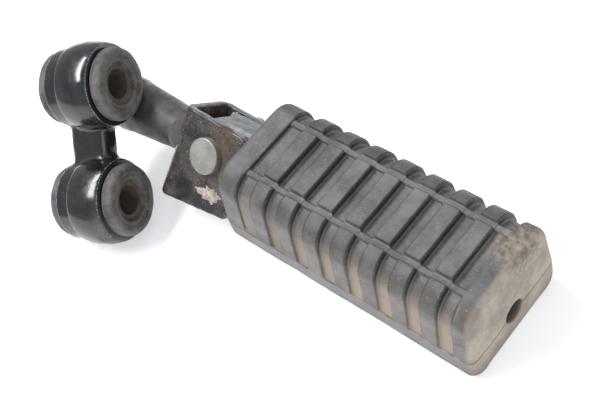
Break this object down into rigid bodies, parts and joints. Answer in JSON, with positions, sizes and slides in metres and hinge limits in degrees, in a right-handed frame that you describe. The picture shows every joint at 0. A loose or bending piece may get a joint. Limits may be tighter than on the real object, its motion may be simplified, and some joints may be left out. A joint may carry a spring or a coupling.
{
  "type": "folding foot peg",
  "caption": "Folding motorcycle foot peg: ribbed rubber pad hinged by a pin in a clevis, on an arm from a two-eye hanger with rubber bushes.",
  "frame": {"origin": "middle of the upper bush bore, on its axis", "axes": "+X out along the peg, +Z the way the tread faces, +Y away from the hinge pin's head; the bush bores lean 25.7 degrees away from +X"},
  "size_m": [0.211, 0.0853, 0.0675],
  "materials": {
    "hanger_paint": "gloss",
    "clevis_paint": "semi-gloss",
    "bush_rubber": "matt",
    "sleeve_steel": "rusty",
    "zinc_plate": "satin",
    "tongue_steel": "dull",
    "spring_steel": "satin",
    "core_steel": "plain",
    "pad_rubber": "matt"
  },
  "bodies": {
    "bracket": {"hanger_forging": "hanger_paint", "clevis": "clevis_paint", "arm_weld": "hanger_paint", "upper_bush_outboard": "bush_rubber", "upper_bush_inboard": "bush_rubber", "upper_sleeve": "sleeve_steel", "lower_bush_outboard": "bush_rubber", "lower_bush_inboard": "bush_rubber", "lower_sleeve": "sleeve_steel", "hinge_pin": "zinc_plate", "pin_washer": "zinc_plate", "split_pin": "spring_steel", "thrust_washer": "spring_steel", "disc_spring": "spring_steel"},
    "peg": {"peg_tongue": "tongue_steel", "backing_plate": "core_steel", "core_weld": "core_steel", "core_bar": "core_steel", "end_washer": "zinc_plate", "end_screw": "zinc_plate", "rubber_pad": "pad_rubber"}
  },
  "joints": [
    {"name": "fold", "type": "hinge", "parent": "bracket", "child": "peg", "pos_m": [0.058, 0.01252, -0.02097], "axis": [0, -0.7373, 0.6756], "range_deg": [0, 90]}
  ]
}
